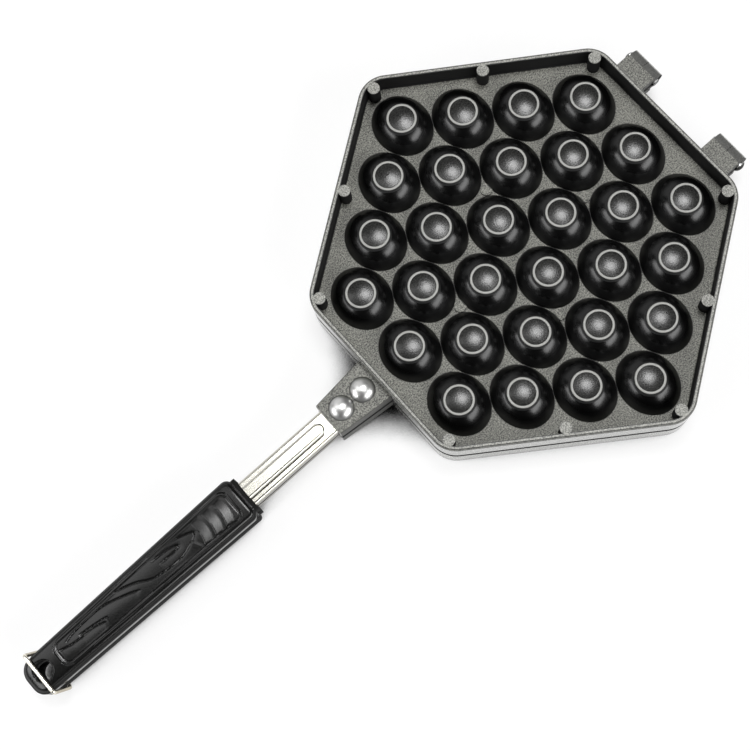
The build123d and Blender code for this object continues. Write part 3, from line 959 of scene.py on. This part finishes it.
@dataclass
class MouldedGrip:
    """One half's grip: a tapered bar with a crowned top, a framed panel, finger ridges and grain."""

    half: Half
    front_x: float = -72.65
    length: float = 121.0
    front_half: float = 10.75
    rear_half: float = 8.5
    top: float = 10.5
    gap: float = 0.6
    crown: float = 0.8
    front_radius: float = 3.6
    lower_front_radius: float = 1.6
    tip_radius: float = 6.5
    edge: float = 2.6
    inner_edge: float = 0.6
    wall_rows: tuple[float, ...] = (0.35, 0.7, 1.0)
    collar_length: float = 1.8
    collar_overlap: float = 0.4
    collar_half: float = 8.6
    collar_top: float = 9.7
    collar_round: float = 2.4
    collar_foot_round: float = 0.3
    panel_front: float = 4.6
    panel_rear: float = 17.5
    panel_border: float = 2.6
    panel_depth: float = 0.45
    panel_radius: float = 4.2
    panel_step: float = 0.35
    frame_width: float = 1.3
    frame_groove: float = 0.22
    well_fade: float = 1.2
    ridge_places: tuple[float, ...] = (12.0, 18.0, 24.0)
    ridge_height: float = 0.32
    ridge_run: float = 4.2
    ridge_face: float = 0.3
    ridge_half: float = 7.2
    ridge_end: float = 1.4
    ridge_bow: float = 0.035
    ridge_middle: float = 1.0
    hole_inset: float = 9.0
    hole_radius: float = 4.4
    hole_round: float = 0.7
    tang_length: float = 58.0
    tang_room: float = 0.25
    channel_half: float = 6.5
    channel_top: float = 5.5
    channel_corner: float = 0.2
    bead_half: float = 3.4
    bead_tail: float = 8.4
    bead_top: float = 8.75
    screw_insets: tuple[float, ...] = (20.0, 50.0)
    screw_radius: float = 1.58
    screw_depth: float = 4.0
    clasp_inset: float = 10.5
    clasp_depth: float = 6.5
    clasp_lean: float = 3.5
    clasp_reach: float = 16.45
    clasp_room: float = 1.25
    bore_radius: float = 0.96
    overrun: float = 3.0
    front_overrun: float = 5.0
    bore_overrun: float = 20.0
    overlap: float = 0.5
    round_room: float = 0.01
    sliver: float = 0.002
    step_along: float = 0.3
    end_steps: int = 22
    steps_across: int = 84
    across_shares: Pair = (0.55, 0.45)
    smooth_angle: float = 38.0

    @property
    def tip_x(self) -> float:
        """The tip's x in the grip's own frame, where the front is at 0."""
        return -self.length

    @property
    def nose_radius(self) -> float:
        """Radius of the front corners seen from above, tighter on the lower half."""
        return self.front_radius if self.half is Half.UPPER else self.lower_front_radius

    def half_width(self, x: np.ndarray | float) -> np.ndarray | float:
        """Half width of the straight-sided outline at x."""
        return self.front_half + (self.rear_half - self.front_half) * (-x / self.length)

    def outline(self) -> np.ndarray:
        """The grip's outline seen from above."""
        front = (0, self.front_half, self.nose_radius)
        return bar_outline(front, (self.tip_x, self.rear_half, self.tip_radius))

    def panel_outline(self, inset: float) -> np.ndarray:
        """The framed panel's outline.

        Args:
            inset: how far it is moved in from the real one.

        Returns:
            The outline's points.
        """
        front, rear = -self.panel_front - inset, self.tip_x + self.panel_rear + inset
        wide, narrow = (self.half_width(x) - self.panel_border - inset for x in (front, rear))
        radius = self.panel_radius - inset
        return bar_outline((front, wide, radius), (rear, narrow, radius))

    def relief(self, x: np.ndarray, y: np.ndarray) -> np.ndarray:
        """How far the moulded pattern lies below the plain top.

        Args:
            x: places along the grip.
            y: places across it.

        Returns:
            The depth at each place.
        """
        closed = np.vstack((self.panel_outline(0), self.panel_outline(0)[:1]))
        edge, _, _ = line_distance(x, y, closed)
        inside = np.clip(edge / self.panel_step + 0.5, 0, 1)
        depth = self.panel_depth * (3 * inside**2 - 2 * inside**3)
        rim = edge - self.frame_width
        depth += self.frame_groove * np.exp(-((rim / self.frame_groove) ** 2))
        well = np.clip(rim / self.well_fade, 0, 1)
        for place in self.ridge_places:
            run = x - (-place - self.ridge_bow * (y - self.ridge_middle) ** 2)
            ramp = np.where((run > 0) & (run < self.ridge_run), 1 - run / self.ridge_run, 0.0)
            face = np.clip(1 + run / self.ridge_face, 0, 1) * (run <= 0)
            reach = np.clip((self.ridge_half - np.abs(y)) / self.ridge_end, 0, 1)
            depth -= self.ridge_height * (ramp + face) * reach * well
        for grain in GRAIN:
            line = smooth_line([(-a, v) for a, v in grain.points], steps=10)
            gap, along, plain = line_distance(x, y, line)
            taper = np.clip(np.minimum(along, 1 - along) / grain.taper, 0, 1)
            groove = grain.depth * np.exp(-((plain / grain.width) ** 2))
            soft = grain.fall * np.exp(-plain / grain.fade) * (gap > 0)
            depth += (groove + soft) * taper * well
        return depth

    def top_height(self, x: np.ndarray, y: np.ndarray, border: np.ndarray) -> np.ndarray:
        """Height of the moulded top over the closing plane.

        Args:
            x: places along the grip.
            y: places across it.
            border: distance of each place from the outline.

        Returns:
            The heights.
        """
        base = np.full(x.shape, self.top)
        if self.half is Half.UPPER:
            swing = x - (self.tip_x + self.clasp_inset)
            bar = swing < -self.clasp_lean + self.clasp_room
            arc = np.sqrt(np.clip(self.clasp_reach**2 - swing**2, 0, None)) - self.clasp_depth
            base = np.where(bar, np.minimum(base, arc), base)
        base = base - self.crown * (y / self.front_half) ** 2
        near = np.clip(self.edge - border, 0, self.edge)
        round_off = self.edge - np.sqrt(self.edge**2 - near**2)
        hole = np.hypot(x - (self.tip_x + self.hole_inset), y) - self.hole_radius
        near_hole = np.clip(self.hole_round - hole, 0, self.hole_round)
        return base - round_off - (self.hole_round - np.sqrt(self.hole_round**2 - near_hole**2))

    def stations(self) -> np.ndarray:
        """Places of the body's sections along the grip, crowded where its ends round off.

        Returns:
            The sections' x, from the front to the tip.
        """
        ends = 1 - np.cos(np.linspace(0, np.pi / 2, self.end_steps))
        count = int(self.length / self.step_along)
        inner = np.linspace(self.tip_radius, self.length - self.nose_radius, count)
        front, middle = self.nose_radius * ends[:-1], self.length - inner[::-1]
        tip = self.length - self.tip_radius * ends[::-1][1:]
        found = np.unique(np.round(-np.concatenate((front, middle, tip)), 6))[::-1]
        found[0], found[-1] = -self.sliver, self.tip_x + self.sliver
        return found

    def body(self) -> Object:
        """Builds the grip's solid body as sections joined along its length.

        Returns:
            The closed body, in the frame.
        """
        stations, outline = self.stations(), self.outline()
        closed = np.vstack((outline, outline[:1]))
        width = np.array([
            max(
                a[1] + (b[1] - a[1]) * (x - a[0]) / (b[0] - a[0])
                for a, b in zip(closed, closed[1:])
                if (a[0] - x) * (b[0] - x) <= 0 and a[0] != b[0]
            )
            for x in stations
        ])
        crowded, even = self.across_shares
        across = np.sin(np.linspace(-np.pi / 2, np.pi / 2, self.steps_across + 1))
        across = crowded * across + even * np.linspace(-1, 1, self.steps_across + 1)
        x = np.repeat(stations[:, None], len(across), axis=1)
        y = width[:, None] * across[None, :]
        _, _, border = line_distance(x, y, closed)
        border[:, 0] = border[:, -1] = 0
        z = self.top_height(x, y, border) - self.relief(x, y)
        foot, round_off = self.gap / 2 + self.inner_edge, self.inner_edge
        sides = []
        for sign, column in ((1, -1), (-1, 0)):
            rim_z, rim_y = z[:, column], y[:, column]
            rows = [(rim_y, rim_z + (foot - rim_z) * share) for share in self.wall_rows]
            for turn in (math.pi / 6, math.pi / 3, math.pi / 2):
                level = np.full(len(stations), foot - round_off * math.sin(turn))
                rows.append((rim_y - sign * round_off * (1 - math.cos(turn)), level))
            sides.append(rows)
        rows = [*zip(y.T, z.T), *sides[0], *sides[1][::-1]]
        loop = [np.column_stack((stations, *row)) for row in rows]
        points = np.stack(loop, axis=1).reshape(-1, 3)
        faces = tube_faces(len(stations), len(loop))
        return mesh_object(f"{self.half.word}_moulded_grip", self.placed(points), faces)

    def placed(self, points: np.ndarray) -> np.ndarray:
        """Moves points from the grip's own frame into the pan's frame."""
        sign = self.half.value
        return points * (1, sign, sign) + (self.front_x, 0, CLOSING_Z)

    def upright(self, name: str, outline: np.ndarray, base: float, height: float) -> Object:
        """Builds an upright prism.

        Args:
            name: the object's name.
            outline: its outline in the grip's own frame.
            base: where it starts over the closing plane.
            height: where it ends.

        Returns:
            The prism, in the frame.
        """
        sign = self.half.value
        levels = sorted((CLOSING_Z + sign * base, CLOSING_Z + sign * height))
        return prism(name, outline * (1, sign) + (self.front_x, 0), *levels)

    def collar(self) -> Object:
        """Builds the collar that the grip ends in at the neck.

        Returns:
            The collar, in the frame.
        """
        half, low, high, sign = self.collar_half, self.gap / 2, self.collar_top, self.half.value
        foot, top = self.collar_foot_round, self.collar_round
        corners = [(-half, low, foot), (half, low, foot), (half, high, top), (-half, high, top)]
        outline = rounded_polygon(corners, steps=10) * (sign, sign) + (0, CLOSING_Z)
        inner_end = self.front_x - self.front_radius - self.collar_overlap
        return prism("collar", outline, inner_end, self.front_x + self.collar_length, axis=0)

    def tools(self) -> list[tuple[Object, Carving]]:
        """Builds the solids that are added to the body or cut from it.

        Returns:
            Each solid with what it does, in their order.
        """
        front, corner, tail = self.front_overrun, self.channel_corner, self.bead_half - self.round_room
        tang_end = -self.tang_length - self.tang_room
        channel = bar_outline(
            (front, self.channel_half, corner), (tang_end, self.channel_half, corner), steps=4
        )
        bead = bar_outline(
            (front, self.bead_half, corner), (-self.bead_tail, self.bead_half, tail), steps=16
        )
        hole = circle((self.tip_x + self.hole_inset, 0), self.hole_radius)
        groove_base, bore_top = self.channel_top - self.overlap, self.channel_top + self.screw_depth
        cuts = [
            ("channel", channel, -self.overrun, self.channel_top),
            ("bead_groove", bead, groove_base, self.bead_top),
            ("hanging_hole", hole, -self.overrun, self.top + self.overrun),
        ]
        for inset in self.screw_insets:
            bore = circle((-inset, 0), self.screw_radius, count=24)
            cuts.append(("screw_bore", bore, groove_base, bore_top))
        made = [(self.collar(), Carving.ADD)]
        made += [(self.upright(*cut), Carving.CUT) for cut in cuts]
        if self.half is Half.LOWER:
            centre = (self.front_x + self.tip_x + self.clasp_inset, CLOSING_Z - self.clasp_depth)
            bore = circle(centre, self.bore_radius, count=24)
            across = prism("clasp_bore", bore, -self.bore_overrun, self.bore_overrun, axis=1)
            made.append((across, Carving.CUT))
        return made

    def build(self) -> Object:
        """Builds the grip and lets it ride in place of its solid.

        Returns:
            The grip.
        """
        piece = self.body()
        for tool, carving in self.tools():
            carve(piece, tool, carving)
        shade(piece, self.smooth_angle)
        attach(piece, self.half.body)
        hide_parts(f"{self.half.word}_grip")
        return piece

    def dress(self, piece: Object, finish: Material) -> None:
        """Gives the grip its finish."""
        piece.data.materials.clear()
        piece.data.materials.append(finish)


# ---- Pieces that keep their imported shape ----


@dataclass
class PackedPieces:
    """The castings, necks, rivets, pins, screws and wire, which keep their shape and get a finish."""

    finishes: dict[Slot, Material]

    def slots(self) -> dict[str, Slot]:
        """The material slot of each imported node."""
        return {part["node"]: Slot(part["material_slot"]) for part in frame["record"]["subparts"]}

    def dress(self) -> int:
        """Gives each shown node the finish of its slot.

        Returns:
            How many nodes there are.
        """
        named = self.slots()
        shown = [(name, piece) for name, piece in frame["nodes"].items() if not piece.hide_render]
        for name, piece in shown:
            finish = self.finishes[named[name]]
            if not piece.material_slots:
                piece.data.materials.append(finish)
            for slot in piece.material_slots:
                slot.material = finish
        return len(shown)


# ---- Floor, lights and camera ----


@dataclass(frozen=True)
class SoftBox:
    """One lamp behind a diffuser, facing the pan."""

    name: str
    place_m: Triple
    aim_m: Triple
    size_m: Pair
    radiance: float

    def build(self) -> None:
        """Hangs the lamp."""
        data = bpy.data.lights.new(self.name, "AREA")
        data.shape = "RECTANGLE"
        data.size, data.size_y = self.size_m
        data.energy = self.radiance * math.pi * data.size * data.size_y
        lamp = new_object(self.name, data)
        lamp.location = self.place_m
        lamp.rotation_mode = "QUATERNION"
        lamp.rotation_quaternion = (Vector(self.aim_m) - Vector(self.place_m)).to_track_quat("-Z", "Y")


SOFT_BOXES = (
    SoftBox("overhead_box", (0.56, 0.24, 2.46), (0.09, 0.0, 0.02), (0.78, 0.72), 17.5),
    SoftBox("neck_box", (-0.005, 0.24, 1.12), (-0.05, 0.0, 0.02), (0.194, 0.28), 1.1),
    SoftBox("grip_box", (-0.38, 0.6, 1.12), (-0.13, 0.0, 0.02), (0.4, 0.66), 2.4),
    SoftBox("right_box", (0.63, -1.95, 1.45), (0.09, 0.0, 0.02), (2.35, 0.8), 5.9),
    SoftBox("left_box", (-0.83, 0.3, 0.5), (0.09, 0.0, 0.02), (0.75, 0.26), 5.5),
    SoftBox("back_box", (0.2, 1.15, 0.75), (0.09, 0.0, 0.02), (1.5, 0.8), 0.7),
)


@dataclass(frozen=True)
class Studio:
    """A plain white table under soft lights in a dim room with pale lower walls."""

    floor_half_m: float = 14.0
    floor_colour: str = "#fafafa"
    floor_glow: float = 0.74
    glow_level: float = 1.04
    gap_reach_m: float = 0.03
    gap_dark: float = 0.33
    gap_light: float = 0.58
    ceiling_colour: str = "#303031"
    wall_colour: str = "#b8b9ba"
    wall_rise: Pair = (0.05, 0.3)

    def floor(self) -> Object:
        """Builds the table top, whose own white shows in the camera and in metal, with painted shade under
        the pan: ambient occlusion darkens its colour and its glow in the gaps.

        Returns:
            The table top.
        """
        half = self.floor_half_m / MM
        corners = np.array([(-half, -half, 0), (half, -half, 0), (half, half, 0), (-half, half, 0)], float)
        piece = mesh_object("table_top", corners, [[0, 1, 2, 3]])
        material, tree = new_material("white_laminate")
        rays = add_node(tree, "LightPath").node.outputs
        share = rays["Is Camera Ray"]
        for ray in ("Is Glossy Ray", "Is Transmission Ray"):
            share = add_node(tree, "Math", {0: share, 1: rays[ray]}, operation="MAXIMUM")
        # painted shade: ambient occlusion darkens the table's colour and cuts its glow in the narrow gaps
        # under the pan
        open_air = add_node(tree, "AmbientOcclusion", {"Distance": self.gap_reach_m}, out="AO")
        out_of_painted_shade = add_node(
            tree, "MapRange",
            {"Value": open_air, "From Min": self.gap_dark, "From Max": self.gap_light},
            interpolation_type="SMOOTHSTEP",
        )
        for factor in (self.floor_glow, out_of_painted_shade):
            share = add_node(tree, "Math", {0: share, 1: factor}, operation="MULTIPLY")
        pair = {"Factor": out_of_painted_shade, 6: (0, 0, 0, 1), 7: linear(self.floor_colour)}
        colour = add_node(tree, "Mix", pair, data_type="RGBA", out=2)
        matt = add_node(tree, "BsdfDiffuse", {"Color": colour})
        glow = add_node(tree, "Emission", {"Color": (1, 1, 1, 1), "Strength": self.glow_level})
        finish_surface(tree, add_node(tree, "MixShader", {0: share, 1: matt, 2: glow}))
        piece.data.materials.append(material)
        return piece

    def room(self) -> None:
        """Light from the room: dim overhead and paler towards the floor."""
        world = bpy.data.worlds.new("studio_room")
        world.use_nodes = True
        tree = world.node_tree
        tree.nodes.clear()
        way = add_node(tree, "TexCoord", out="Generated")
        rise = add_node(tree, "SeparateXYZ", {0: way}, out=2)
        low, high = self.wall_rise
        up = add_node(
            tree, "MapRange", {"Value": rise, "From Min": low, "From Max": high},
            interpolation_type="SMOOTHSTEP",
        )
        pair = {"Factor": up, 6: linear(self.wall_colour), 7: linear(self.ceiling_colour)}
        colour = add_node(tree, "Mix", pair, data_type="RGBA", out=2)
        light = add_node(tree, "Background", {"Color": colour, "Strength": 1.0})
        add_node(tree, "OutputWorld", {"Surface": light})
        bpy.context.scene.world = world

    def build(self) -> None:
        """Builds floor, room and lamps."""
        self.floor()
        self.room()
        for box in SOFT_BOXES:
            box.build()


@dataclass(frozen=True)
class Viewpoint:
    """The camera, held above the pan and turned about its own line of sight."""

    place_m: Triple = (-0.05235, -0.12710, 0.68742)
    aim_m: Triple = (0.005256, 0.002322, 0.018)
    roll_degrees: float = 42.359
    focal_length: float = 74.88
    sensor: float = 36.0

    def build(self) -> Object:
        """Makes the scene's camera.

        Returns:
            The camera.
        """
        data = bpy.data.cameras.new("camera")
        data.lens, data.sensor_width = self.focal_length, self.sensor
        camera = new_object("camera", data)
        sight = (Vector(self.aim_m) - Vector(self.place_m)).normalized()
        side = sight.cross(Vector((0, 1, 0))).normalized()
        up = side.cross(sight)
        roll = Matrix.Rotation(-math.radians(self.roll_degrees), 3, "Z")
        turn = Matrix((side, up, -sight)).transposed() @ roll
        camera.matrix_world = Matrix.Translation(self.place_m) @ turn.to_4x4()
        bpy.context.scene.camera = camera
        return camera


def main() -> None:
    """Builds the looks of the pan piece by piece."""
    logging.basicConfig(level=logging.INFO, format="%(name)s: %(message)s")
    bpy.context.scene.view_settings.view_transform = "Standard"
    Viewpoint().build()
    Studio().build()
    LOG.info("camera, table and lights")
    finishes = {
        Slot.POLISHED_RIVET: POLISHED_RIVET.make(),
        Slot.COATED_CAST_ALUMINIUM: SprayedNonStick().make(),
        Slot.CHROMED_STEEL: CHROME_PLATE.make(),
        Slot.MOULDED_PHENOLIC: MouldedPhenolic().make(),
        Slot.ZINC_SCREW: ZINC_PLATE.make(),
        Slot.SPRING_WIRE: SPRING_WIRE.make(),
    }
    for half in Half:
        grip = MouldedGrip(half)
        piece = grip.build()
        grip.dress(piece, finishes[Slot.MOULDED_PHENOLIC])
        LOG.info("%s: %d faces", piece.name, len(piece.data.polygons))
    LOG.info("%d packed pieces dressed", PackedPieces(finishes).dress())


if __name__ == "__main__":
    main()
